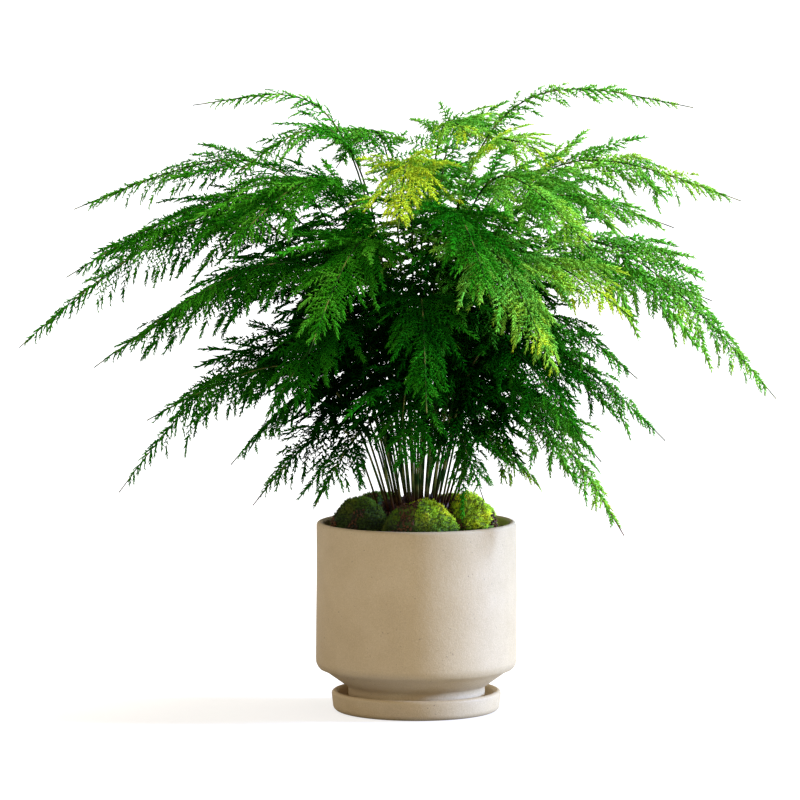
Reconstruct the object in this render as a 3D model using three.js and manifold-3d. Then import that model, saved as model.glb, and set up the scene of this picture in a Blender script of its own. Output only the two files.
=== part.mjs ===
// A potted asparagus fern. Thin shoots fan out of a dark rhizome crown, arch over and end in flat
// feathery plumes. Moss cushions cover the soil of a round stoneware pot on its own saucer.
// Millimetres, +Z up. The origin is the centre of the saucer's flat underside.
import * as THREE from 'three';
import { LoftGeometry } from 'three/addons/geometries/LoftGeometry.js';
import { mergeVertices } from 'three/addons/utils/BufferGeometryUtils.js';
import Module from 'manifold-3d';

const wasm = await Module();
wasm.setup();

// ---- Driving dimensions ----

const GAP = 0.3;              // clearance left between pieces that touch
const POT_SIDES = 40;         // flats around the pot and the saucer
const BED_SIDES = 24;         // flats around the soil, the crown and the moss

const SAUCER_RADIUS = 63.2;
const SAUCER_HEIGHT = 15.2;
const SAUCER_FLOOR = 5.5;     // thickness of the saucer's bottom
const SAUCER_WALL = 5;

const POT_RADIUS = 75;
const POT_RIM_RADIUS = 74.3;  // the wall draws in slightly towards the rim
const POT_RIM = 141.5;        // height of the rim above the bench
const POT_WALL = 5;
const POT_FLOOR = 13.5;       // height of the soil side of the pot's floor
const POT_FOOT_RADIUS = 51;
const POT_CHAMFER_LOW = 18;   // the chamfer runs from the foot at this height
const POT_CHAMFER_HIGH = 35;  // to the wall at this height
const DRAIN_RADIUS = 7;

const SOIL_EDGE = 131.5;      // height of the soil at the pot's wall
const SOIL_TOP = 139.5;       // and in the middle

const CROWN_RADIUS = 31;
const CROWN_TOP = 157;
const STEM_FAN = 9;           // how much wider the clump of stems is at the top of the moss

const STEM_RADIUS = 1.2;
const RIB_HALF_THICKNESS = 0.6;
const STEM_LEAN = 0.2;        // how far out a stem leans first, as a share of its reach
const PLUME_START = 0.43;     // where along its curve a shoot stops being bare stem
const STEM_STATIONS = 6;
const PLUME_STATIONS = 12;

// ---- Materials ----

const surface = (color, roughness) => new THREE.MeshStandardMaterial({ color, roughness, metalness: 0 });

const stoneware = () => surface(0xc9b795, 0.85);
const peat = () => surface(0x2e1a12, 0.95);
const rhizome = () => surface(0x3a2420, 0.9);
const moss = () => surface(0x5f7a1e, 0.95);
const foliage = () => surface(0x2c7a24, 0.7);

// ---- Helpers ----

const pieces = new THREE.Group();

function addPiece(name, geometry, material) {
  const mesh = new THREE.Mesh(geometry, material);
  mesh.name = name;
  pieces.add(mesh);
  return mesh;
}

// An outline of [radius, height] pairs turned about the vertical axis.
function turned(outline, sides) {
  const points = outline.map(([radius, height]) => new THREE.Vector2(radius, height));
  return new THREE.LatheGeometry(points, sides).rotateX(Math.PI / 2);
}

// Points on a circular arc of an outline, angles in degrees, 0 pointing outwards and 90 up.
function arc(centreRadius, centreHeight, radius, from, to, steps) {
  const points = [];
  for (let i = 0; i <= steps; i++) {
    const angle = THREE.MathUtils.degToRad(THREE.MathUtils.lerp(from, to, i / steps));
    points.push([centreRadius + radius * Math.cos(angle), centreHeight + radius * Math.sin(angle)]);
  }
  return points;
}

function toSolid(geometry) {
  const bare = geometry.clone().deleteAttribute('normal').deleteAttribute('uv');
  const merged = mergeVertices(bare, 1e-3);
  return new wasm.Manifold(new wasm.Mesh({
    numProp: 3,
    vertProperties: new Float32Array(merged.attributes.position.array),
    triVerts: new Uint32Array(merged.index.array),
  }));
}

function toGeometry(solid) {
  const mesh = solid.getMesh();
  const geometry = new THREE.BufferGeometry();
  geometry.setAttribute('position', new THREE.BufferAttribute(mesh.vertProperties, 3));
  geometry.setIndex(new THREE.BufferAttribute(mesh.triVerts, 1));
  geometry.computeVertexNormals();
  return geometry;
}

// ---- Saucer: a shallow dish with a flat underside and a rounded upright wall ----

function saucer() {
  const inner = SAUCER_RADIUS - SAUCER_WALL;
  const lip = SAUCER_WALL / 2;
  return turned([
    [0, 0],
    ...arc(SAUCER_RADIUS - 5.4, 4.5, 4.5, -90, 0, 3),
    ...arc(SAUCER_RADIUS - lip, SAUCER_HEIGHT - lip, lip, 0, 180, 4),
    ...arc(inner - 3, SAUCER_FLOOR + 3, 3, 0, -90, 2),
    [0, SAUCER_FLOOR],
  ], POT_SIDES);
}

// ---- Pot: upright wall, chamfer down to a narrower foot, drain hole in a recessed floor ----

function pot() {
  const base = SAUCER_FLOOR + GAP;
  const lip = POT_WALL / 2;
  const recess = base + 2.5;
  return turned([
    [DRAIN_RADIUS, recess],
    [POT_FOOT_RADIUS - 9, recess],
    [POT_FOOT_RADIUS - 7, base],
    [POT_FOOT_RADIUS - 1, base],
    [POT_FOOT_RADIUS, base + 1],
    [POT_FOOT_RADIUS, POT_CHAMFER_LOW],
    [POT_RADIUS - 7.2, POT_CHAMFER_HIGH - 5],
    ...arc(POT_RADIUS - 9, POT_CHAMFER_HIGH + 3.4, 9, -38, 0, 3),
    ...arc(POT_RIM_RADIUS - lip, POT_RIM - lip, lip, 0, 180, 4),
    [POT_RIM_RADIUS - POT_WALL, POT_CHAMFER_HIGH + 4],
    [POT_FOOT_RADIUS - 6, POT_FLOOR],
    [DRAIN_RADIUS, POT_FLOOR],
    [DRAIN_RADIUS, recess],
  ], POT_SIDES);
}

// ---- Soil, crown and moss ----

const soilRadius = POT_RIM_RADIUS - POT_WALL - GAP * 2;

// Height of the soil at a distance from the middle, with an optional clearance above it.
function soilHeight(radius, clearance = 0) {
  const rise = (SOIL_TOP - SOIL_EDGE) * Math.cos((Math.PI / 2) * Math.min(1, radius / soilRadius));
  return SOIL_EDGE + rise + clearance;
}

function soilSurface(steps, outer, clearance) {
  const points = [];
  for (let i = 0; i <= steps; i++) {
    const radius = outer * (1 - i / steps);
    points.push([radius, soilHeight(radius, clearance)]);
  }
  return points;
}

function soil() {
  return turned([
    [0, POT_FLOOR + GAP * 2],
    [POT_FOOT_RADIUS - 7, POT_FLOOR + GAP * 2],
    [soilRadius, POT_CHAMFER_HIGH + 5.5],
    ...soilSurface(4, soilRadius, 0),
  ], BED_SIDES);
}

// The space that the soil and its clearance take up, used to trim what lies on it.
function soilSpace() {
  return turned([[0, 100], [90, 100], ...soilSurface(6, 90, GAP)], BED_SIDES);
}

// The space of the crown and of the stems that fan out of it, which the moss is packed around.
function clumpSpace() {
  const radius = CROWN_RADIUS + 2 * GAP;
  return turned([[0, 100], [radius, 100], [radius, SOIL_TOP], [radius + STEM_FAN, 172], [0, 172]], BED_SIDES);
}

// Height of the crown's domed top at a distance from the middle.
function crownHeight(radius) {
  return CROWN_TOP - 15 * (radius / CROWN_RADIUS) ** 2;
}

function crown() {
  const outline = [[0, SOIL_TOP + GAP]];
  for (const share of [0.5, 0.97]) {
    outline.push([CROWN_RADIUS * share, soilHeight(CROWN_RADIUS * share, GAP * 2)]);
  }
  for (const share of [1, 0.85, 0.65, 0.4, 0]) {
    outline.push([CROWN_RADIUS * share, crownHeight(CROWN_RADIUS * share)]);
  }
  return turned(outline, BED_SIDES);
}

// A moss cushion: a dome heaped against the stems, whose underside follows the soil.
function cushion({ azimuth, distance, length, breadth, top }) {
  const angle = THREE.MathUtils.degToRad(azimuth);
  const middle = soilHeight(distance) - 3;
  const dome = new THREE.SphereGeometry(1, 16, 10)
    .rotateX(Math.PI / 2)
    .scale(breadth / 2, length / 2, top - middle)
    .rotateZ(angle)
    .translate(distance * Math.cos(angle), distance * Math.sin(angle), middle);
  const trimmed = toSolid(dome).subtract(toSolid(soilSpace())).subtract(toSolid(clumpSpace()));
  return toGeometry(trimmed);
}

// Length runs around the pot, breadth from the wall towards the crown.
const CUSHIONS = [
  { name: 'moss_front', azimuth: -86, distance: 50, length: 60, breadth: 35, top: 163 },
  { name: 'moss_left', azimuth: -159, distance: 43, length: 50, breadth: 49, top: 162 },
  { name: 'moss_right', azimuth: -29, distance: 43, length: 42, breadth: 49, top: 165 },
  { name: 'moss_back_left', azimuth: 128, distance: 43, length: 60, breadth: 49, top: 160 },
  { name: 'moss_back_right', azimuth: 49, distance: 43, length: 56, breadth: 49, top: 158 },
];

// ---- Fronds: each shoot is one grown piece, a wiry stem that arches over into a flat plume ----

// azimuth: compass direction in degrees, 0 to the right, 90 to the back
// reach: how far out the tip ends; crest and tip: heights of the arch and of the tip
// width: half the plume's breadth; roll: how far the plume is tilted about its own stem, degrees
// lean: how far out the stem leans first, where it differs from the others
const FRONDS = {
  top: [
    { azimuth: 8, reach: 208, crest: 463, tip: 448, width: 20, roll: 35, lean: 0.07 },
    { azimuth: 172, reach: 168, crest: 458, tip: 450, width: 20, roll: -35 },
    { azimuth: -65, reach: 95, crest: 442, tip: 430, width: 22, roll: 10 },
    { azimuth: 62, reach: 140, crest: 440, tip: 412, width: 24, roll: -10 },
    { azimuth: -162, reach: 140, crest: 437, tip: 402, width: 22, roll: -25 },
    { azimuth: 115, reach: 145, crest: 432, tip: 398, width: 24, roll: 10 },
    { azimuth: -25, reach: 120, crest: 428, tip: 410, width: 22, roll: 20 },
  ],
  upper: [
    { azimuth: 4, reach: 242, crest: 412, tip: 379, width: 28, roll: 35 },
    { azimuth: 177, reach: 255, crest: 412, tip: 373, width: 28, roll: -35 },
    { azimuth: -95, reach: 155, crest: 415, tip: 368, width: 28, roll: 5 },
    { azimuth: 85, reach: 190, crest: 408, tip: 356, width: 30, roll: -5 },
    { azimuth: -47, reach: 185, crest: 404, tip: 350, width: 30, roll: 15 },
    { azimuth: -138, reach: 190, crest: 402, tip: 346, width: 30, roll: -15 },
    { azimuth: 42, reach: 215, crest: 398, tip: 346, width: 30, roll: 0 },
    { azimuth: 138, reach: 220, crest: 395, tip: 342, width: 30, roll: 0 },
    { azimuth: -19, reach: 198, crest: 388, tip: 364, width: 26, roll: 10 },
    { azimuth: -168, reach: 262, crest: 385, tip: 327, width: 30, roll: -25 },
    { azimuth: -75, reach: 205, crest: 380, tip: 318, width: 32, roll: 0 },
  ],
  middle: [
    { azimuth: 180, reach: 295, crest: 368, tip: 271, width: 32, roll: -35 },
    { azimuth: 2, reach: 268, crest: 350, tip: 232, width: 42, roll: 45 },
    { azimuth: -112, reach: 205, crest: 358, tip: 282, width: 32, roll: -5 },
    { azimuth: -57, reach: 185, crest: 352, tip: 258, width: 40, roll: 5 },
    { azimuth: 65, reach: 240, crest: 350, tip: 275, width: 32, roll: 0 },
    { azimuth: 110, reach: 240, crest: 345, tip: 270, width: 32, roll: 0 },
    { azimuth: -31, reach: 185, crest: 343, tip: 298, width: 28, roll: 15 },
    { azimuth: -148, reach: 222, crest: 340, tip: 300, width: 28, roll: -15 },
    { azimuth: 20, reach: 238, crest: 335, tip: 300, width: 28, roll: 15 },
    { azimuth: 155, reach: 240, crest: 330, tip: 268, width: 30, roll: -10 },
    { azimuth: -172, reach: 240, crest: 322, tip: 259, width: 30, roll: -25 },
    { azimuth: -88, reach: 190, crest: 315, tip: 240, width: 32, roll: 0 },
  ],
  lower: [
    { azimuth: -9, reach: 165, crest: 302, tip: 250, width: 28, roll: 25 },
    { azimuth: -125, reach: 190, crest: 298, tip: 230, width: 32, roll: -10 },
    { azimuth: 50, reach: 220, crest: 292, tip: 215, width: 32, roll: 5 },
    { azimuth: 88, reach: 220, crest: 288, tip: 210, width: 32, roll: 0 },
    { azimuth: 130, reach: 220, crest: 284, tip: 210, width: 32, roll: -5 },
    { azimuth: -45, reach: 175, crest: 278, tip: 208, width: 32, roll: 10 },
    { azimuth: 178, reach: 222, crest: 272, tip: 162, width: 34, roll: -40 },
    { azimuth: 8, reach: 188, crest: 268, tip: 199, width: 30, roll: 35 },
    { azimuth: -156, reach: 215, crest: 262, tip: 225, width: 28, roll: -25 },
    { azimuth: -95, reach: 155, crest: 255, tip: 190, width: 32, roll: 0 },
  ],
  skirt: [
    { azimuth: 34, reach: 170, crest: 240, tip: 176, width: 30, roll: 10 },
    { azimuth: 146, reach: 170, crest: 238, tip: 174, width: 30, roll: -10 },
    { azimuth: 75, reach: 160, crest: 234, tip: 170, width: 30, roll: 0 },
    { azimuth: -20, reach: 162, crest: 230, tip: 137, width: 30, roll: 25 },
    { azimuth: -65, reach: 115, crest: 218, tip: 168, width: 26, roll: 5 },
    { azimuth: -128, reach: 120, crest: 214, tip: 163, width: 26, roll: -10 },
    { azimuth: -176, reach: 122, crest: 210, tip: 154, width: 26, roll: -35 },
    { azimuth: 8, reach: 92, crest: 203, tip: 166, width: 20, roll: 35 },
  ],
};

const frondCount = Object.values(FRONDS).flat().length;

// The shoots nearest the middle of the crown grow tallest, so the arches lie inside one another.
function frondCurve({ azimuth, reach, crest, tip, lean = STEM_LEAN }, order) {
  const foot = THREE.MathUtils.lerp(4, 27, order / (frondCount - 1));
  const footHeight = crownHeight(foot) + 2 * GAP;
  const angle = THREE.MathUtils.degToRad(azimuth);
  const point = (radius, height) => new THREE.Vector3(
    radius * Math.cos(angle), radius * Math.sin(angle), height);
  return new THREE.CubicBezierCurve3(
    point(foot, footHeight),
    point(foot + lean * reach, footHeight + 1.15 * (crest - footHeight)),
    point(0.42 * reach, crest + 0.6 * (crest - tip)),
    point(reach, tip),
  );
}

// A four-cornered section: the two side corners are swept forwards like the pinnae they stand for.
function section(curve, place, side, halfWidth, halfThickness, sweep) {
  const centre = curve.getPoint(place);
  const along = curve.getTangent(place);
  const across = side.clone().addScaledVector(along, -side.dot(along)).normalize();
  const upward = new THREE.Vector3().crossVectors(along, across);
  const corner = (acrossShare, upwardShare, forward) => centre.clone()
    .addScaledVector(across, acrossShare * halfWidth)
    .addScaledVector(upward, upwardShare * halfThickness)
    .addScaledVector(along, forward);
  return [corner(1, 0, sweep), corner(0, 1, 0), corner(-1, 0, sweep), corner(0, -1, 0)];
}

function frond(row, order) {
  const curve = frondCurve(row, order);
  const angle = THREE.MathUtils.degToRad(row.azimuth);
  const level = new THREE.Vector3(-Math.sin(angle), Math.cos(angle), 0);
  const outwards = curve.getTangent(0.75);
  const side = level.applyAxisAngle(outwards, THREE.MathUtils.degToRad(row.roll));
  const sections = [];
  for (let i = 0; i < STEM_STATIONS; i++) {
    const place = PLUME_START * i / STEM_STATIONS;
    sections.push(section(curve, place, side, STEM_RADIUS, STEM_RADIUS, 0));
  }
  const step = row.reach / PLUME_STATIONS;
  for (let i = 0; i < PLUME_STATIONS; i++) {
    const share = i / PLUME_STATIONS;
    const place = THREE.MathUtils.lerp(PLUME_START, 1, share);
    const spread = row.width * Math.sin(Math.PI * share ** 0.55);
    const tooth = i % 2 === 1 ? 1 : 0.4;
    const halfWidth = Math.max(STEM_RADIUS, spread * tooth);
    sections.push(section(curve, place, side, halfWidth, RIB_HALF_THICKNESS, tooth === 1 ? step * 0.5 : 0));
  }
  sections.push(section(curve, 1, side, 0.5, 0.3, 0));
  return new LoftGeometry(sections, { capStart: true, capEnd: true });
}

// ---- Assembly ----

addPiece('saucer', saucer(), stoneware());
addPiece('pot', pot(), stoneware());
addPiece('soil', soil(), peat());
addPiece('crown', crown(), rhizome());
for (const row of CUSHIONS) addPiece(row.name, cushion(row), moss());

let order = 0;
for (const [tier, rows] of Object.entries(FRONDS)) {
  rows.forEach((row, index) => {
    const name = `frond_${tier}_${String(index + 1).padStart(2, '0')}`;
    addPiece(name, frond(row, order), foliage());
    order += 1;
  });
}

export default pieces;
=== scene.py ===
import math
import random

import bmesh
import bpy
from mathutils import Matrix, Vector, noise


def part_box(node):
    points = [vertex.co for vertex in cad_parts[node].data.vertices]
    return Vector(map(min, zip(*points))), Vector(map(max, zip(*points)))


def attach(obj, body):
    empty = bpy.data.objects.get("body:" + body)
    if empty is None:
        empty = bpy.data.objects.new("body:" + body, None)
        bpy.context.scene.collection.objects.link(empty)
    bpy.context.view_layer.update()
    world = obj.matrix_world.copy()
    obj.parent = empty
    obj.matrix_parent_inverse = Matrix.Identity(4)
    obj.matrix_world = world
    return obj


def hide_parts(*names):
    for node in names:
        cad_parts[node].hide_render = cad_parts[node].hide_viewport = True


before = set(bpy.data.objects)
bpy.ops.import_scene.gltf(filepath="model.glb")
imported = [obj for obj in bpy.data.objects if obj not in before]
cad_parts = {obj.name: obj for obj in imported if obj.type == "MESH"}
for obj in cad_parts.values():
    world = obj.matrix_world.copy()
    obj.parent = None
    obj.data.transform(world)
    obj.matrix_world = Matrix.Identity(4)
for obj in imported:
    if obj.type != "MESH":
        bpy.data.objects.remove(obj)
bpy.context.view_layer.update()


# ---- Saucer ----
# A shallow dish of unglazed stoneware, cast in one piece and fired with its pot. It has a flat
# underside, softly rounded edges and an upright wall that the pot's foot stands inside.

def arc(radius, height, bend, start, end, steps):
    """Points round a bend of an outline, in degrees: 0 points outwards and 90 up."""
    angles = [math.radians(start + (end - start) * i / steps) for i in range(steps + 1)]
    return [(radius + bend * math.cos(a), height + bend * math.sin(a)) for a in angles]


def climb(start, end, steps):
    """Evenly spaced points on a straight stretch of an outline, without its two ends."""
    shares = [i / steps for i in range(1, steps)]
    return [tuple(a + (b - a) * share for a, b in zip(start, end)) for share in shares]


def turned(outline, sides=112):
    """A closed shape made by spinning an outline of (radius, height) points about the axis."""
    shape = bmesh.new()
    points = [shape.verts.new((radius, 0, height)) for radius, height in outline]
    edges = [shape.edges.new(pair) for pair in zip(points, points[1:])]
    bmesh.ops.spin(shape, geom=points + edges, cent=(0, 0, 0), axis=(0, 0, 1),
                   angle=2 * math.pi, steps=sides, use_merge=True)
    bmesh.ops.remove_doubles(shape, verts=shape.verts, dist=1e-6)
    bmesh.ops.recalc_face_normals(shape, faces=shape.faces)
    return shape


def hand_made(shape, amount, scale):
    """Moves each point in or out a little, so that a turned surface isn't perfectly true."""
    for point in shape.verts:
        waver = noise.noise(point.co * scale) * amount
        outwards = Vector((point.co.x, point.co.y, 0))
        if outwards.length > 0.01:
            point.co += outwards.normalized() * waver


def place(shape, name, node, material):
    """Turns a finished shape into a piece that stands for one CAD node."""
    mesh = bpy.data.meshes.new(name)
    shape.to_mesh(mesh)
    shape.free()
    mesh.shade_smooth()
    mesh.materials.append(material)
    piece = bpy.data.objects.new(name, mesh)
    bpy.context.scene.collection.objects.link(piece)
    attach(piece, "root")
    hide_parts(node)
    return piece


def new_material(name, roughness):
    """A material with one Principled shader, its node tree and a coordinate source."""
    material = bpy.data.materials.new(name)
    material.use_nodes = True
    tree = material.node_tree
    shader = tree.nodes["Principled BSDF"]
    shader.inputs["Roughness"].default_value = roughness
    place_on_piece = tree.nodes.new("ShaderNodeTexCoord").outputs["Object"]
    return material, tree, shader, place_on_piece


def noise_at(tree, vector, scale, detail=3, roughness=0.5):
    """Noise from 0 to 1 with so many lumps to the metre."""
    texture = tree.nodes.new("ShaderNodeTexNoise")
    texture.inputs["Scale"].default_value = scale
    texture.inputs["Detail"].default_value = detail
    texture.inputs["Roughness"].default_value = roughness
    tree.links.new(vector, texture.inputs["Vector"])
    return texture.outputs["Fac"]


def ramp(tree, factor, *stops):
    """Colours along a factor: each stop is (position, (r, g, b))."""
    band = tree.nodes.new("ShaderNodeValToRGB")
    tree.links.new(factor, band.inputs["Fac"])
    while len(band.color_ramp.elements) < len(stops):
        band.color_ramp.elements.new(1)
    for element, (position, colour) in zip(band.color_ramp.elements, stops):
        element.position = position
        element.color = (*colour, 1)
    return band.outputs["Color"]


def mix(tree, factor, first, second, blend="MIX"):
    """Mixes two colours, each a socket or an (r, g, b), by a factor that is a socket or a number."""
    blender = tree.nodes.new("ShaderNodeMix")
    blender.data_type = "RGBA"
    blender.blend_type = blend
    for socket, value in zip((blender.inputs[0], blender.inputs[6], blender.inputs[7]),
                             (factor, first, second)):
        if isinstance(value, bpy.types.NodeSocket):
            tree.links.new(value, socket)
        else:
            socket.default_value = (*value, 1) if isinstance(value, tuple) else value
    return blender.outputs[2]


def calculate(tree, operation, first, second=0.0, third=0.0):
    """One Math node on sockets or numbers."""
    sum_node = tree.nodes.new("ShaderNodeMath")
    sum_node.operation = operation
    for socket, value in zip(sum_node.inputs, (first, second, third)):
        if isinstance(value, bpy.types.NodeSocket):
            tree.links.new(value, socket)
        else:
            socket.default_value = value
    return sum_node.outputs[0]


def mask(tree, value, low, high):
    """0 where a value is below low, 1 above high, and smooth between them."""
    band = tree.nodes.new("ShaderNodeMapRange")
    band.interpolation_type = "SMOOTHSTEP"
    band.inputs["From Min"].default_value = low
    band.inputs["From Max"].default_value = high
    tree.links.new(value, band.inputs["Value"])
    return band.outputs["Result"]


def bump(tree, shader, height, distance, strength=1.0):
    """Adds fine relief to a shader's normal, on top of any relief that it already has."""
    relief = tree.nodes.new("ShaderNodeBump")
    relief.inputs["Strength"].default_value = strength
    relief.inputs["Distance"].default_value = distance
    tree.links.new(height, relief.inputs["Height"])
    if shader.inputs["Normal"].links:
        tree.links.new(shader.inputs["Normal"].links[0].from_socket, relief.inputs["Normal"])
    tree.links.new(relief.outputs["Normal"], shader.inputs["Normal"])


def height_on(tree, vector):
    """The height part of a coordinate."""
    split = tree.nodes.new("ShaderNodeSeparateXYZ")
    tree.links.new(vector, split.inputs["Vector"])
    return split.outputs["Z"]


def stoneware_material():
    """Matte sand-coloured stoneware: cloudy mottling, a fine tooth, a few iron specks, and a painted
    highlight along the top of the pot's rim.
    """
    material, tree, shader, spot = new_material("stoneware", 0.62)
    shader.inputs["Specular IOR Level"].default_value = 0.45
    clouds = ramp(tree, noise_at(tree, spot, 38, 4, 0.6),
                  (0.30, (0.52, 0.40, 0.225)), (0.52, (0.57, 0.445, 0.258)), (0.72, (0.61, 0.485, 0.295)))
    tooth = noise_at(tree, spot, 1300, 2)
    grains = ramp(tree, tooth, (0.3, (0.38, 0.28, 0.15)), (0.7, (0.66, 0.52, 0.31)))
    grained = mix(tree, 0.35, clouds, grains)
    specks = calculate(tree, "MULTIPLY",
                       mask(tree, noise_at(tree, spot, 620, 1), 0.70, 0.76),
                       mask(tree, noise_at(tree, spot, 90, 1), 0.50, 0.62))
    speckled = mix(tree, specks, grained, (0.30, 0.22, 0.14))
    # Painted highlight: the top of the pot's rim is mixed towards a lighter colour by height, where the lip
    # catches the light. The worn share here is this painted highlight.
    rim = mask(tree, height_on(tree, spot), 0.1393, 0.1412)
    worn = calculate(tree, "MULTIPLY", rim, 0.45)
    tree.links.new(mix(tree, worn, speckled, (0.66, 0.54, 0.36)), shader.inputs["Base Color"])
    bump(tree, shader, noise_at(tree, spot, 260, 3, 0.6), 0.0006, 0.35)
    bump(tree, shader, tooth, 0.0003, 0.45)
    return material


saucer_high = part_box("saucer")[1]
saucer_radius = saucer_high.x
saucer_height = saucer_high.z
saucer_wall = 0.005
saucer_floor = 0.0055
saucer_lip = saucer_wall / 2
saucer_heel = 0.0045
saucer_flare = 0.0009
saucer_cove = 0.003
saucer_foot = saucer_radius - saucer_flare - saucer_heel
saucer_hollow = saucer_radius - saucer_wall - saucer_cove

stoneware = stoneware_material()
dish = turned([
    (0, 0),
    *climb((0, 0), (saucer_foot, 0), 8),
    *arc(saucer_foot, saucer_heel, saucer_heel, -90, 0, 8),
    *arc(saucer_radius - saucer_lip, saucer_height - saucer_lip, saucer_lip, 0, 180, 12),
    *arc(saucer_hollow, saucer_floor + saucer_cove, saucer_cove, 0, -90, 6),
    *climb((saucer_hollow, saucer_floor), (0, saucer_floor), 8),
    (0, saucer_floor),
])
hand_made(dish, 0.0003, 22)
place(dish, "stoneware_saucer", "saucer", stoneware)


# ---- Pot ----
# The same stoneware: a straight wall that draws in a little to a rounded rim, and a chamfer down
# to a narrower foot ring. The floor is recessed under the foot and has a drain hole.

pot_low, pot_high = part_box("pot")
pot_radius = pot_high.x
pot_rim = pot_high.z
rim_radius = pot_radius - 0.0007
pot_wall = 0.005
pot_lip = pot_wall / 2
shoulder_bend = 0.009
foot_radius = 0.051
foot_bend = 0.0012
foot_ring = 0.009
drain_radius = 0.007
base = pot_low.z
under_floor = base + 0.0025
pot_floor = 0.0135

chamfer_low = (foot_radius, 0.018)
chamfer_high = (pot_radius - 0.0072, 0.030)
shoulder = arc(pot_radius - shoulder_bend, 0.0384, shoulder_bend, -52, 0, 8)
rim_edge = arc(rim_radius - pot_lip, pot_rim - pot_lip, pot_lip, 0, 180, 14)
inner_low = (rim_radius - pot_wall, 0.039)
inner_floor = (foot_radius - 0.006, pot_floor)
body = turned([
    (drain_radius, under_floor),
    (foot_radius - foot_ring, under_floor),
    *arc(foot_radius - 0.006, base + foot_bend, foot_bend, 180, 270, 4),
    *arc(foot_radius - foot_bend, base + foot_bend, foot_bend, -90, 0, 4),
    *climb((foot_radius, base + foot_bend), chamfer_low, 4),
    chamfer_low,
    *climb(chamfer_low, chamfer_high, 6),
    chamfer_high,
    *shoulder[1:],
    *climb(shoulder[-1], rim_edge[0], 16),
    *rim_edge,
    *climb(rim_edge[-1], inner_low, 8),
    inner_low,
    inner_floor,
    (drain_radius, pot_floor),
    (drain_radius, under_floor),
])
hand_made(body, 0.0005, 16)
place(body, "stoneware_pot", "pot", stoneware)


# ---- Soil ----
# Dark crumbly potting soil with bits of bark, filled to about a centimetre below the rim and
# heaped a little towards the middle. Crumbs lie loose wherever moss doesn't cover it.

def peat_material():
    """Dark red-brown crumbs, each a slightly different brown."""
    material, tree, shader, spot = new_material("peat", 0.9)
    browns = ramp(tree, noise_at(tree, spot, 260, 2),
                  (0.32, (0.012, 0.006, 0.004)), (0.52, (0.045, 0.02, 0.012)), (0.68, (0.13, 0.06, 0.035)))
    tree.links.new(browns, shader.inputs["Base Color"])
    bump(tree, shader, noise_at(tree, spot, 900, 3), 0.0006, 0.6)
    return material


def add_copy(shape, template, matrix):
    """Adds a moved copy of a template mesh to a shape."""
    copy = template.copy()
    copy.transform(matrix)
    shape.from_mesh(copy)
    bpy.data.meshes.remove(copy)


def as_template(shape, name):
    """Keeps a finished shape as a mesh to copy from."""
    mesh = bpy.data.meshes.new(name)
    shape.to_mesh(mesh)
    shape.free()
    return mesh


def crumb_templates(count):
    """Rough lumps, about one unit across, marked as crumbs for the materials that ask."""
    lumps = []
    for index in range(count):
        lump = bmesh.new()
        brown = lump.verts.layers.float.new("crumb")
        bmesh.ops.create_icosphere(lump, subdivisions=1, radius=0.5)
        for point in lump.verts:
            point.co *= 1 + 0.6 * noise.noise(point.co * 2.3 + Vector((index * 7, 0, 0)))
            point[brown] = 1.0
        bmesh.ops.scale(lump, vec=(1, 0.75, 0.6), verts=lump.verts)
        lumps.append(as_template(lump, "crumb"))
    return lumps


def soil_height(radius):
    """Height of the soil's surface at a distance from the middle."""
    return soil_edge + (soil_top - soil_edge) * math.cos(math.pi / 2 * min(1, radius / soil_radius))


def tumbled(dice):
    """A random turn in every direction."""
    return (Matrix.Rotation(dice.uniform(0, 6.28), 4, "X")
            @ Matrix.Rotation(dice.uniform(0, 6.28), 4, "Y")
            @ Matrix.Rotation(dice.uniform(0, 6.28), 4, "Z"))


soil_low, soil_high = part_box("soil")
soil_radius = soil_high.x
soil_top = soil_high.z
soil_edge = soil_top - 0.008
crumb_count = 520
crumb_sizes = (0.0012, 0.0016, 0.0022, 0.0034)

bed = turned([
    (0, soil_low.z),
    (foot_radius - 0.007, soil_low.z),
    (soil_radius, 0.0405),
    *[(soil_radius * (1 - i / 24), soil_height(soil_radius * (1 - i / 24))) for i in range(24)],
    (0, soil_top),
], 72)
for point in bed.verts:
    if point.co.z > 0.1:
        point.co.z += 0.0016 * noise.fractal(point.co * 260, 0.8, 2, 3) - 0.0005
crumbs = crumb_templates(6)
dice = random.Random(11)
for _ in range(crumb_count):
    distance = soil_radius * 0.97 * math.sqrt(dice.uniform(0.15, 1))
    angle = dice.uniform(0, 2 * math.pi)
    size = dice.choice(crumb_sizes)
    height = soil_height(distance) + size * 0.2
    spot = Vector((distance * math.cos(angle), distance * math.sin(angle), height))
    add_copy(bed, dice.choice(crumbs), Matrix.Translation(spot) @ tumbled(dice) @ Matrix.Scale(size, 4))
place(bed, "potting_soil", "soil", peat_material())


# ---- Crown ----
# The rhizome clump that every shoot grows out of: dark, purple-brown and fibrous, set with the
# papery sheaths at the feet of the stems and the dry stubs of stems that were cut.

def rhizome_material():
    """Purple-brown at the buds, nearly black in the gaps, with dry tan fibres."""
    material, tree, shader, spot = new_material("rhizome", 0.75)
    tones = ramp(tree, noise_at(tree, spot, 330, 3),
                 (0.34, (0.010, 0.005, 0.005)), (0.50, (0.055, 0.018, 0.022)),
                 (0.62, (0.13, 0.055, 0.045)), (0.74, (0.30, 0.20, 0.10)))
    tree.links.new(tones, shader.inputs["Base Color"])
    bump(tree, shader, noise_at(tree, spot, 1100, 3), 0.0005, 0.6)
    return material


def cad_shape(node, cuts):
    """A copy of a CAD node with its loose triangles merged and split finer."""
    shape = bmesh.new()
    shape.from_mesh(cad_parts[node].data)
    bmesh.ops.remove_doubles(shape, verts=shape.verts, dist=1e-5)
    bmesh.ops.subdivide_edges(shape, edges=shape.edges, cuts=cuts, use_grid_fill=True)
    bmesh.ops.triangulate(shape, faces=shape.faces)
    return shape


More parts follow.
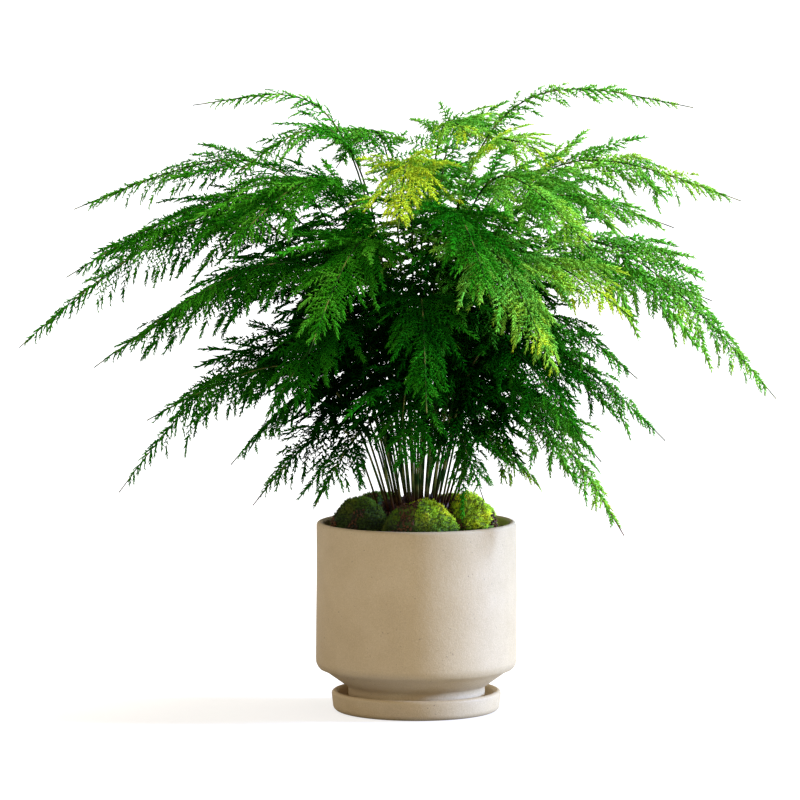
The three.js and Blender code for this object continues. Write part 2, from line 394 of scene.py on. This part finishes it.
def pointing(direction, spin=0.0):
    """Turns +Z to a direction, after a spin about it."""
    return direction.to_track_quat("Z", "Y").to_matrix().to_4x4() @ Matrix.Rotation(spin, 4, "Z")


crown_low, crown_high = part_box("crown")
crown_radius = crown_high.x
crown_top = crown_high.z
sheath_count = 230
sheath_width = 0.011

clump = cad_shape("crown", 2)
for point in clump.verts:
    if point.co.z > crown_low.z + 0.003:
        point.co += Vector((0, 0, 1)) * 0.003 * noise.fractal(point.co * 120, 0.8, 2, 3)
sheath = bmesh.new()
bmesh.ops.create_cone(sheath, cap_ends=True, segments=5, radius1=0.24, radius2=0.06, depth=1)
bmesh.ops.translate(sheath, vec=(0, 0, 0.4), verts=sheath.verts)
sheath = as_template(sheath, "sheath")
for _ in range(sheath_count):
    distance = crown_radius * math.sqrt(dice.uniform(0, 1))
    angle = dice.uniform(0, 2 * math.pi)
    foot = Vector((distance * math.cos(angle), distance * math.sin(angle), 0))
    foot.z = crown_top - 0.016 * (distance / crown_radius) ** 2 - 0.001
    stray = Vector((dice.uniform(-0.3, 0.3), dice.uniform(-0.3, 0.3), 0))
    lean = pointing(Vector((foot.x * 16, foot.y * 16, 1)) + stray)
    stretch = Matrix.Diagonal((sheath_width, sheath_width, dice.uniform(0.004, 0.011), 1))
    add_copy(clump, sheath, Matrix.Translation(foot) @ lean @ stretch)
place(clump, "rhizome_crown", "crown", rhizome_material())


# ---- Moss ----
# Five cushions of live moss laid on the soil and pressed in round the stems. Each is a soft dome
# of upright sprigs. Its colour holds painted light, yellow-green high up and towards the light, and
# a dark mat between the sprigs that is partly the moss's own dark base and partly painted shade.

def attribute(tree, name):
    """The value that a piece's points carry under a name."""
    reader = tree.nodes.new("ShaderNodeAttribute")
    reader.attribute_name = name
    return reader.outputs["Fac"]


def moss_material():
    """Bright sprig tips over a dark mat that is partly painted shade, with brown crumbs, and painted
    light: brighter high up and towards +X, where the light comes from.
    """
    material, tree, shader, spot = new_material("moss", 0.85)
    patches = noise_at(tree, spot, 75, 3, 0.6)
    freshness_and_light = ramp(tree, patches,
                 (0.30, (0.16, 0.34, 0.010)), (0.50, (0.42, 0.66, 0.020)), (0.68, (0.95, 0.95, 0.07)))
    # The dark mat colour is partly the moss's own dark base and partly painted shade between the sprigs.
    mat_and_painted_shade = ramp(tree, patches, (0.30, (0.020, 0.014, 0.004)), (0.60, (0.030, 0.060, 0.004)))
    # Painted light: the colour is multiplied down to a dark tone low down and on the left, and up to twice
    # as bright high up on the right, the side the light comes from.
    split = tree.nodes.new("ShaderNodeSeparateXYZ")
    tree.links.new(spot, split.inputs["Vector"])
    painted_light_position = calculate(tree, "MULTIPLY_ADD", split.outputs["X"], 0.35, split.outputs["Z"])
    painted_light_tint = ramp(tree, mask(tree, painted_light_position, 0.134, 0.172),
                 (0.0, (0.16, 0.20, 0.1)), (0.35, (0.42, 0.56, 0.25)),
                 (0.75, (1.4, 1.5, 0.6)), (1.0, (2.0, 1.75, 0.8)))
    green = mix(tree, 1.0, mix(tree, attribute(tree, "tip"), mat_and_painted_shade, freshness_and_light), painted_light_tint, "MULTIPLY")
    browns = ramp(tree, noise_at(tree, spot, 300, 2),
                  (0.35, (0.018, 0.007, 0.002)), (0.65, (0.13, 0.050, 0.012)))
    tree.links.new(mix(tree, attribute(tree, "crumb"), green, browns), shader.inputs["Base Color"])
    return material


SPIKE_RADIUS = 0.00046
SPIKE_LENGTH = 0.0034
SPRIG_SPACING = 0.0020
SOIL_FLECKS = (0.0016, 0.0022, 0.0030)
WORN_PATCHES = 0.36
WORN_FOOT = 0.139


def sprig_template(dice):
    """One moss sprig, standing on the origin: a few fine spikes that fan out."""
    sprig = bmesh.new()
    sprig.verts.layers.float.new("tip")
    for index in range(6):
        spike = bmesh.new()
        tip = spike.verts.layers.float.new("tip")
        bmesh.ops.create_cone(spike, cap_ends=True, segments=3,
                              radius1=SPIKE_RADIUS, radius2=0, depth=SPIKE_LENGTH)
        bmesh.ops.translate(spike, vec=(0, 0, 0.0010), verts=spike.verts)
        for point in spike.verts:
            # Spike bases take a low tip value, and so part of the dark mat colour, which is partly painted
            # shade between the sprigs.
            point[tip] = 1.0 if point.co.z > 0.001 else 0.30
        turn = Matrix.Rotation(index * 2.4 + dice.uniform(-0.4, 0.4), 4, "Z")
        fan = Matrix.Rotation(dice.uniform(0.25, 1.0), 4, "X")
        mesh = as_template(spike, "spike")
        add_copy(sprig, mesh, turn @ fan)
        bpy.data.meshes.remove(mesh)
    return as_template(sprig, "sprig")


def points_over(shape, spacing, dice):
    """Random points on a shape's upper faces, about one per spacing squared, with normals."""
    found = []
    for face in shape.faces:
        if face.normal.z < -0.2:
            continue
        wanted = face.calc_area() / spacing ** 2
        for _ in range(int(wanted) + (dice.random() < wanted % 1)):
            weights = [dice.random() for _ in face.verts]
            spot = sum((v.co * w for v, w in zip(face.verts, weights)), Vector()) / sum(weights)
            found.append((spot, face.normal.copy()))
    return found


def cushion(node, sprigs, crumbs, dice):
    """A lumpy dome with sprigs all over it, and brown crumbs of soil where it is worn thin."""
    dome = cad_shape(node, 2)
    dome.verts.layers.float.new("crumb")
    tip = dome.verts.layers.float.new("tip")
    bmesh.ops.smooth_vert(dome, verts=dome.verts, factor=0.5,
                          use_axis_x=True, use_axis_y=True, use_axis_z=True)
    dome.normal_update()
    for point in dome.verts:
        lumps = 0.0030 * noise.noise(point.co * 120) + 0.0012 * noise.noise(point.co * 300)
        point.co += point.normal * (lumps - 0.0012)
        # The dome between the sprigs takes the dark mat colour, partly painted shade.
        point[tip] = 0.12
    dome.normal_update()
    for spot, normal in points_over(dome, SPRIG_SPACING, dice):
        worn = noise.noise(spot * 60 + Vector((3, 1, 7)))
        if worn > min(WORN_PATCHES, 24 * (spot.z - WORN_FOOT)):
            size = dice.choice(SOIL_FLECKS)
            lump = Matrix.Translation(spot + normal * 0.0006) @ tumbled(dice) @ Matrix.Scale(size, 4)
            add_copy(dome, dice.choice(crumbs), lump)
            continue
        upward = (normal + Vector((0, 0, 0.35))).normalized()
        size = dice.uniform(0.75, 1.2)
        turn = pointing(upward, dice.uniform(0, 6.28)) @ Matrix.Scale(size, 4)
        add_copy(dome, dice.choice(sprigs), Matrix.Translation(spot) @ turn)
    return dome


moss = moss_material()
sprigs = [sprig_template(dice) for _ in range(5)]
for node in ("moss_front", "moss_left", "moss_right", "moss_back_left", "moss_back_right"):
    place(cushion(node, sprigs, crumbs, dice), node.replace("moss", "moss_cushion"), node, moss)


# ---- Fronds ----
# Each shoot grew as one piece: a wiry stem, purple-brown at the foot and nearly black-green above,
# that arches over and ends in a flat plume. The plume's side branches carry short twigs, and the
# twigs carry soft needles up to 5 mm long. New growth is lime green and the old fronds dark; the
# fronds in the middle of the plant and low in front also carry painted shade in their colour.

# Per shoot: direction in degrees (0 right, 90 back), reach, crest and tip heights and half width
# in millimetres, roll of the plume in degrees, and how fresh its green is, from 0 to 1. The low
# values of the lower fronds in the middle front also stand for painted shade under the fronds above.
SHOOTS = {
    "top": [
        (8, 208, 463, 448, 8, 35, 0.70),
        (172, 168, 458, 450, 6, -35, 0.56),
        (-65, 95, 442, 430, 20, 10, 0.80),
        (62, 140, 440, 412, 24, -10, 0.70),
        (-162, 140, 437, 402, 18, -25, 0.45),
        (115, 145, 432, 398, 24, 10, 0.60),
        (-25, 120, 428, 410, 26, 20, 0.92),
    ],
    "upper": [
        (4, 242, 412, 379, 28, 35, 0.75),
        (177, 255, 412, 373, 25, -35, 0.45),
        (-95, 155, 415, 368, 30, 5, 1.00),
        (85, 190, 408, 356, 30, -5, 0.60),
        (-47, 185, 404, 350, 32, 15, 0.66),
        (-138, 190, 402, 346, 34, -15, 0.34),
        (42, 215, 398, 346, 30, 0, 0.60),
        (138, 220, 395, 342, 30, 0, 0.40),
        (-19, 198, 388, 364, 26, 10, 0.55),
        (-168, 262, 385, 327, 30, -25, 0.26),
        (-75, 205, 380, 318, 32, 0, 0.28),
    ],
    "middle": [
        (180, 295, 368, 271, 32, -35, 0.30),
        (2, 268, 350, 232, 42, 45, 0.65),
        (-112, 205, 358, 282, 34, -5, 0.32),
        (-57, 185, 352, 258, 42, 5, 0.72),
        (65, 240, 350, 275, 32, 0, 0.35),
        (110, 240, 345, 270, 32, 0, 0.30),
        (-31, 185, 343, 298, 30, 15, 0.86),
        (-148, 222, 340, 300, 32, -15, 0.26),
        (20, 238, 335, 300, 28, 15, 0.50),
        (155, 240, 330, 268, 30, -10, 0.20),
        (-172, 240, 322, 259, 30, -25, 0.20),
        (-88, 190, 315, 240, 32, 0, 0.12),
    ],
    "lower": [
        (-9, 165, 302, 250, 28, 25, 0.40),
        (-125, 190, 298, 230, 32, -10, 0.12),
        (50, 220, 292, 215, 32, 5, 0.30),
        (88, 220, 288, 210, 32, 0, 0.25),
        (130, 220, 284, 210, 32, -5, 0.20),
        (-45, 175, 278, 208, 32, 10, 0.18),
        (178, 222, 272, 162, 28, -40, 0.25),
        (8, 188, 268, 199, 30, 35, 0.45),
        (-156, 215, 262, 225, 25, -25, 0.22),
        (-95, 155, 255, 190, 32, 0, 0.10),
    ],
    "skirt": [
        (34, 170, 240, 176, 30, 10, 0.40),
        (146, 170, 238, 174, 30, -10, 0.25),
        (75, 160, 234, 170, 30, 0, 0.30),
        (-20, 162, 230, 137, 30, 25, 0.66),
        (-65, 115, 218, 168, 26, 5, 0.40),
        (-128, 120, 214, 163, 26, -10, 0.25),
        (-176, 122, 210, 154, 20, -35, 0.30),
        (8, 92, 203, 166, 20, 35, 0.90),
    ],
}
# How far a stem leans out before it arches, as a share of its reach, and how far along it the
# plume starts. Below that a stem carries side branches only between two heights, in metres.
STEM_LEAN = 0.2
UPRIGHT_STEMS = {"frond_top_01": 0.07}
PLUME_START = 0.43
BARE_BELOW = {"top": 0.28, "upper": 0.265, "middle": 0.245, "lower": 0.232, "skirt": 0.212}
BARE_ABOVE = 0.385
LEAFY_TO = {"frond_top_03": 0.43, "frond_top_04": 0.425, "frond_top_07": 0.42, "frond_upper_03": 0.41}

# How much the lower branches of a tilted plume hang, and how many degrees up or down the branches
# on a stem point.
HANG = {"top": 0.1, "upper": 0.25, "middle": 0.45, "lower": 0.55, "skirt": 0.6}
DROOP = {"top": (-10, 12), "upper": (-16, 10), "middle": (-34, 6), "lower": (-38, 6), "skirt": (-38, 6)}

# Thickness of the stems, spacing of what grows on them, the bare end of each rib, and the share of
# branches that run on as long side plumes.
STEM_RADIUS = 0.0009
TIP_RADIUS = 0.0004
RUNNER_SHARE = 0.13
NEEDLE_PITCH = 0.00115
TWIG_PITCH = 0.0027
STEM_BRANCH_PITCH = 0.0035
PLUME_BRANCH_PITCH = 0.0034
CURVE_STEPS = 500
BARE_TIP = 0.013


def foliage_material():
    """Needles from deep green to lime with paler tips, with painted shade that darkens them towards the
    middle of the plant, and stems dark from purple-brown to green.
    """
    material, tree, shader, spot = new_material("foliage", 0.6)
    shader.inputs["Specular IOR Level"].default_value = 0.0
    # Painted shade: the needles are multiplied towards a dark green the nearer they lie to a point 0.25 m
    # up in the middle of the plant.
    inside = tree.nodes.new("ShaderNodeMapping")
    inside.vector_type = "TEXTURE"
    inside.inputs["Location"].default_value = (0, 0, 0.25)
    inside.inputs["Scale"].default_value = (0.14, 0.13, 0.12)
    tree.links.new(spot, inside.inputs["Vector"])
    depth = tree.nodes.new("ShaderNodeVectorMath")
    depth.operation = "LENGTH"
    tree.links.new(inside.outputs["Vector"], depth.inputs[0])
    painted_shade_falloff = mask(tree, depth.outputs["Value"], 0.55, 1.3)
    blotch = calculate(tree, "MULTIPLY_ADD", noise_at(tree, spot, 42, 3), 0.7, -0.35)
    youth_and_light = calculate(tree, "MULTIPLY_ADD", attribute(tree, "tip"), 0.2, attribute(tree, "freshness_and_light"))
    youth_and_light = calculate(tree, "MULTIPLY", calculate(tree, "ADD", youth_and_light, blotch), 0.82)
    needles = ramp(tree, youth_and_light,
                   (0.06, (0.003, 0.060, 0.002)), (0.30, (0.012, 0.15, 0.004)),
                   (0.52, (0.050, 0.29, 0.012)), (0.72, (0.14, 0.45, 0.040)),
                   (0.88, (0.29, 0.60, 0.050)), (1.0, (0.52, 0.68, 0.03)))
    # The painted shade colour, full inside the plant and fading to none towards the outside.
    painted_shade = mix(tree, painted_shade_falloff, (0.08, 0.22, 0.10), (1.0, 1.0, 1.0))
    feet = mask(tree, height_on(tree, spot), 0.148, 0.178)
    barks = ramp(tree, noise_at(tree, spot, 85, 1),
                 (0.35, (0.010, 0.030, 0.006)), (0.52, (0.022, 0.065, 0.012)), (0.66, (0.16, 0.17, 0.045)))
    wood = mix(tree, feet, (0.075, 0.018, 0.012), barks)
    leaves_with_painted_shade = mix(tree, 1.0, needles, painted_shade, "MULTIPLY")
    tree.links.new(mix(tree, attribute(tree, "stem"), leaves_with_painted_shade, wood), shader.inputs["Base Color"])
    return material


def needle_template():
    """One needle along +X: a closed three-sided spike one unit long."""
    spike = bmesh.new()
    bmesh.ops.create_cone(spike, cap_ends=True, segments=3, radius1=0.5, radius2=0, depth=1)
    bmesh.ops.translate(spike, vec=(0, 0, 0.5), verts=spike.verts)
    bmesh.ops.rotate(spike, matrix=Matrix.Rotation(math.pi / 2, 3, "Y"), verts=spike.verts)
    return as_template(spike, "needle")


def set_at(along, roll, angle, length, thickness):
    """Places a needle on a twig: rolled round it, splayed from it, long and flattened."""
    turn = Matrix.Rotation(roll, 4, "X") @ Matrix.Rotation(angle, 4, "Z")
    stretch = Matrix.Diagonal((length, thickness, thickness * 0.6, 1))
    return Matrix.Translation((along, 0, 0)) @ turn @ stretch


def twig_template(length, needle, dice):
    """A twig along +X: a thin rib with needles all round it, most of them to its two sides."""
    shape = bmesh.new()
    add_copy(shape, needle, set_at(0, 0, 0, length, min(0.0024, 0.0010 + length * 0.10)))
    along, index = 0.0004, 0
    while along < length * 0.86:
        size = min(0.0044, 0.0014 + (length - along) * 0.30) * dice.uniform(0.8, 1.2)
        roll = math.pi * (index % 2) + dice.uniform(-1.1, 1.1)
        angle = math.radians(dice.uniform(26, 50))
        add_copy(shape, needle, set_at(along, roll, angle, size, min(0.0019, 0.0008 + size * 0.28)))
        along += NEEDLE_PITCH
        index += 1
    tip = shape.verts.layers.float.new("tip")
    for point in shape.verts:
        point[tip] = min(1, max(0, point.co.x / length))
        point.co.z -= 0.10 * point.co.x ** 2 / length
    return as_template(shape, "twig")


def nearest(templates, length):
    """The (size, meshes) entry whose size is closest to a wanted length."""
    return min(templates, key=lambda entry: abs(math.log(entry[0] / length)))


def spray_template(length, needle, twigs, dice):
    """A side branch along +X: a rib with twigs on alternate sides, and needles at its end."""
    shape = bmesh.new()
    add_copy(shape, needle, set_at(0, 0, 0, length, 0.001))
    along, index = length * 0.05, 0
    while along < length * 0.74:
        wanted = min(0.0095, 0.30 * (length - along)) * dice.uniform(0.7, 1.15)
        size, meshes = nearest(twigs, wanted)
        angle = (1 if index % 2 else -1) * math.radians(dice.uniform(36, 52))
        turn = Matrix.Rotation(dice.uniform(-0.4, 0.4), 4, "X") @ Matrix.Rotation(angle, 4, "Z")
        add_copy(shape, dice.choice(meshes),
                 Matrix.Translation((along, 0, 0)) @ turn @ Matrix.Scale(wanted / size, 4))
        along += TWIG_PITCH
        index += 1
    overlap = 0.004
    end = length - along + overlap
    size, meshes = nearest(twigs, end)
    last = Matrix.Translation((along - overlap, 0, 0)) @ Matrix.Scale(end / size, 4)
    add_copy(shape, dice.choice(meshes), last)
    tip = shape.verts.layers.float["tip"]
    for point in shape.verts:
        point[tip] = 0.55 * point[tip] + 0.45 * min(1, point.co.x / length)
        point.co.z -= 0.16 * point.co.x ** 2 / length
    return as_template(shape, "spray")


def arch(shoot, order, count, lean):
    """The four points of the curve that a shoot follows. The tall ones grow nearest the middle."""
    azimuth, reach, crest, tip = shoot[:4]
    foot = 4 + 23 * order / (count - 1)
    foot_height = (crown_top * 1000) - 15 * (foot / 31) ** 2 + 0.6
    direction = math.radians(azimuth)
    outline = ((foot, foot_height),
               (foot + lean * reach, foot_height + 1.15 * (crest - foot_height)),
               (0.42 * reach, crest + 0.6 * (crest - tip)),
               (reach, tip))
    return [Vector((r * math.cos(direction), r * math.sin(direction), h)) / 1000 for r, h in outline]


def on_arch(points, share):
    """The point and the direction at a share of the curve."""
    a, b, c, d = points
    rest = 1 - share
    spot = rest ** 3 * a + 3 * rest ** 2 * share * b + 3 * rest * share ** 2 * c + share ** 3 * d
    along = rest ** 2 * (b - a) + 2 * rest * share * (c - b) + share ** 2 * (d - c)
    return spot, along.normalized()


def stem_mesh(points):
    """The wiry stem and rib: one tapered round tube along the curve, closed at both ends."""
    curve = bpy.data.curves.new("stem", "CURVE")
    curve.dimensions = "3D"
    curve.bevel_depth = STEM_RADIUS
    curve.bevel_resolution = 1
    curve.resolution_u = 30
    curve.use_fill_caps = True
    spline = curve.splines.new("BEZIER")
    spline.bezier_points.add(1)
    first, last = spline.bezier_points
    for knot in (first, last):
        knot.handle_left_type = knot.handle_right_type = "FREE"
    root = points[0] - (points[1] - points[0]).normalized() * 0.004
    first.co, first.handle_left, first.handle_right = root, root, points[1]
    last.co, last.handle_left, last.handle_right = points[3], points[2], points[3]
    last.radius = TIP_RADIUS / STEM_RADIUS
    holder = bpy.data.objects.new("stem", curve)
    mesh = bpy.data.meshes.new_from_object(holder)
    bpy.data.objects.remove(holder)
    bpy.data.curves.remove(curve)
    return mesh


def facing(heading, flat):
    """Turns +X to a heading, with the XY plane's normal as near as can be to flat."""
    across = flat.cross(heading).normalized()
    return Matrix((heading, across, heading.cross(across))).transposed().to_4x4()


def stem_branch(direction, sign, droop, dice):
    """Heading and plane of a side branch on the stem: outwards, level or drooping a little."""
    turn = direction + sign * math.radians(dice.uniform(20, 85))
    drop = math.radians(dice.uniform(*droop))
    heading = Vector((math.cos(turn) * math.cos(drop), math.sin(turn) * math.cos(drop), math.sin(drop)))
    return heading, Vector((dice.uniform(-0.4, 0.4), dice.uniform(-0.4, 0.4), 1))


def plume_branch(along, across, out, sign, hang, dice):
    """Heading and plane of a branch of the plume. On a tilted plume the upper ones sweep forward
    and the lower ones hang."""
    upward = along.cross(across)
    tilt = sign * across.z
    angle = math.radians(54 - 24 * out - 16 * max(0, tilt) + dice.uniform(-12, 12))
    heading = along * math.cos(angle) + across * sign * math.sin(angle) + upward * dice.uniform(-0.28, 0.16)
    heading.z -= 0.08 + hang * (0.5 + out) * max(0, -tilt)
    return heading.normalized(), upward + across * dice.uniform(-0.3, 0.3)


def frond(name, shoot, order, count, templates, dice):
    """A whole shoot: its stem, then side branches along both sides of it."""
    width, roll, freshness_and_light = shoot[4] / 1000, math.radians(shoot[5]), shoot[6]
    points = arch(shoot, order, count, UPRIGHT_STEMS.get(name, STEM_LEAN))
    shape = bmesh.new()
    for layer in ("freshness_and_light", "tip", "stem"):
        shape.verts.layers.float.new(layer)
    wood = stem_mesh(points)
    shape.from_mesh(wood)
    bpy.data.meshes.remove(wood)
    stem_layer = shape.verts.layers.float["stem"]
    for point in shape.verts:
        point[stem_layer] = 1.0
    direction = math.radians(shoot[0])
    level = Vector((-math.sin(direction), math.cos(direction), 0))
    side = Matrix.Rotation(roll, 3, on_arch(points, 0.75)[1]) @ level
    tier = name.split("_")[1]
    leafy_to = LEAFY_TO.get(name, BARE_ABOVE)
    freshness_and_light_layer = shape.verts.layers.float["freshness_and_light"]
    spot, travelled, next_branch, sign = points[0], 0.0, 0.0, 1
    for step in range(1, CURVE_STEPS):
        share = step / CURVE_STEPS
        ahead, along = on_arch(points, share)
        travelled += (ahead - spot).length
        spot = ahead
        on_stem = share < PLUME_START
        if travelled < next_branch or (on_stem and not BARE_BELOW[tier] < spot.z < leafy_to):
            continue
        if (points[3] - spot).length < BARE_TIP:
            break
        sign = -sign
        if on_stem:
            heading, flat = stem_branch(direction, sign, DROOP[tier], dice)
            length = (0.022 + 0.9 * width) * dice.uniform(0.7, 1.2)
            spacing = STEM_BRANCH_PITCH
        else:
            out = (share - PLUME_START) / (1 - PLUME_START)
            across = (side - along * side.dot(along)).normalized()
            heading, flat = plume_branch(along, across, out, sign, HANG[tier], dice)
            swell = math.sin(math.pi * (0.13 + 0.85 * out) ** 0.62) ** 1.15
            length = (0.004 + (0.008 + 1.45 * width) * swell) * dice.uniform(0.6, 1.25)
            spacing = PLUME_BRANCH_PITCH - 0.0012 * out
            if tier != "top" and dice.random() < RUNNER_SHARE:
                heading = (heading + 0.9 * along).normalized()
                length *= 1.5
        size, meshes = nearest(templates, length / 1.7 if on_stem else length)
        grown = len(shape.verts)
        add_copy(shape, dice.choice(meshes),
                 Matrix.Translation(spot) @ facing(heading, flat) @ Matrix.Scale(length / size, 4))
        # Stem branches are made a little darker and the outer plume branches fresher. The darker stem
        # branches are partly old growth and partly painted shade inside the plant.
        branch_freshness_and_light = freshness_and_light + dice.uniform(-0.15, 0.15) + (-0.12 if on_stem else 0.2 * out)
        shape.verts.ensure_lookup_table()
        for point in shape.verts[grown:]:
            point[freshness_and_light_layer] = branch_freshness_and_light
        next_branch = travelled + spacing
    return shape


foliage = foliage_material()
needle = needle_template()
frond_dice = random.Random(5)
twig_lengths = (0.003, 0.0045, 0.0065, 0.009, 0.012, 0.0165)
twigs = [(size, [twig_template(size, needle, frond_dice) for _ in range(3)]) for size in twig_lengths]
spray_lengths = (0.022, 0.029, 0.038, 0.05, 0.066)
sprays = [(size, [spray_template(size, needle, twigs, frond_dice) for _ in range(3)])
          for size in spray_lengths]
shoot_count = sum(len(rows) for rows in SHOOTS.values())
order = 0
for tier, rows in SHOOTS.items():
    for index, shoot in enumerate(rows, start=1):
        name = f"frond_{tier}_{index:02d}"
        shape = frond(name, shoot, order, shoot_count, twigs + sprays, frond_dice)
        place(shape, f"fern_{name}", name, foliage)
        order += 1


# ---- Studio ----
# A plain white floor and backdrop, a large soft light from the right and above, even light from
# all round, and a long lens a little above the pot.

def studio_floor(size):
    """A wide white sheet. It shows whiter than it lights the pot from below."""
    sheet = bmesh.new()
    bmesh.ops.create_grid(sheet, x_segments=1, y_segments=1, size=size)
    mesh = bpy.data.meshes.new("floor")
    sheet.to_mesh(mesh)
    sheet.free()
    floor = bpy.data.objects.new("floor", mesh)
    bpy.context.scene.collection.objects.link(floor)
    material, tree, shader, _ = new_material("floor_white", 0.9)
    shader.inputs["Base Color"].default_value = (0.42, 0.41, 0.40, 1)
    shader.inputs["Specular IOR Level"].default_value = 0.0
    shader.inputs["Emission Color"].default_value = (1, 1, 1, 1)
    seen = tree.nodes.new("ShaderNodeLightPath").outputs["Is Camera Ray"]
    tree.links.new(calculate(tree, "MULTIPLY", seen, 0.70), shader.inputs["Emission Strength"])
    mesh.materials.append(material)


def soft_sun(name, source, strength, colour, spread):
    """Light from a far source direction, as soft as its spread in degrees."""
    light = bpy.data.lights.new(name, "SUN")
    light.energy = strength
    light.color = colour
    light.angle = math.radians(spread)
    holder = bpy.data.objects.new(name, light)
    holder.rotation_euler = Vector(source).to_track_quat("Z", "Y").to_euler()
    bpy.context.scene.collection.objects.link(holder)


studio_floor(60)
soft_sun("side_key", (1.0, 0.02, 0.24), 4.35, (0.70, 1.0, 1.85), 10)
soft_sun("top_light", (0.4, 0.15, 1.0), 3.0, (1.0, 1.0, 0.9), 30)

world = bpy.data.worlds.new("studio")
world.use_nodes = True
bpy.context.scene.world = world
backdrop = world.node_tree
sky = backdrop.nodes["Background"]
seen_directly = backdrop.nodes.new("ShaderNodeLightPath").outputs["Is Camera Ray"]
backdrop.links.new(mix(backdrop, seen_directly, (0.80, 0.72, 0.62), (1.1, 1.1, 1.1)), sky.inputs["Color"])
bpy.context.scene.view_settings.view_transform = "Standard"

camera_distance = 4.0
camera_pitch = math.radians(5.2)
view_width = 0.5944
aim = Vector((-0.0123, 0, 0.232))
lens = bpy.data.cameras.new("camera")
lens.sensor_width = 36
lens.lens = 36 * camera_distance / math.cos(camera_pitch) / view_width
camera = bpy.data.objects.new("camera", lens)
camera.location = aim + Vector((0, -camera_distance, camera_distance * math.tan(camera_pitch)))
camera.rotation_euler = (math.pi / 2 - camera_pitch, 0, 0)
bpy.context.scene.collection.objects.link(camera)
bpy.context.scene.camera = camera
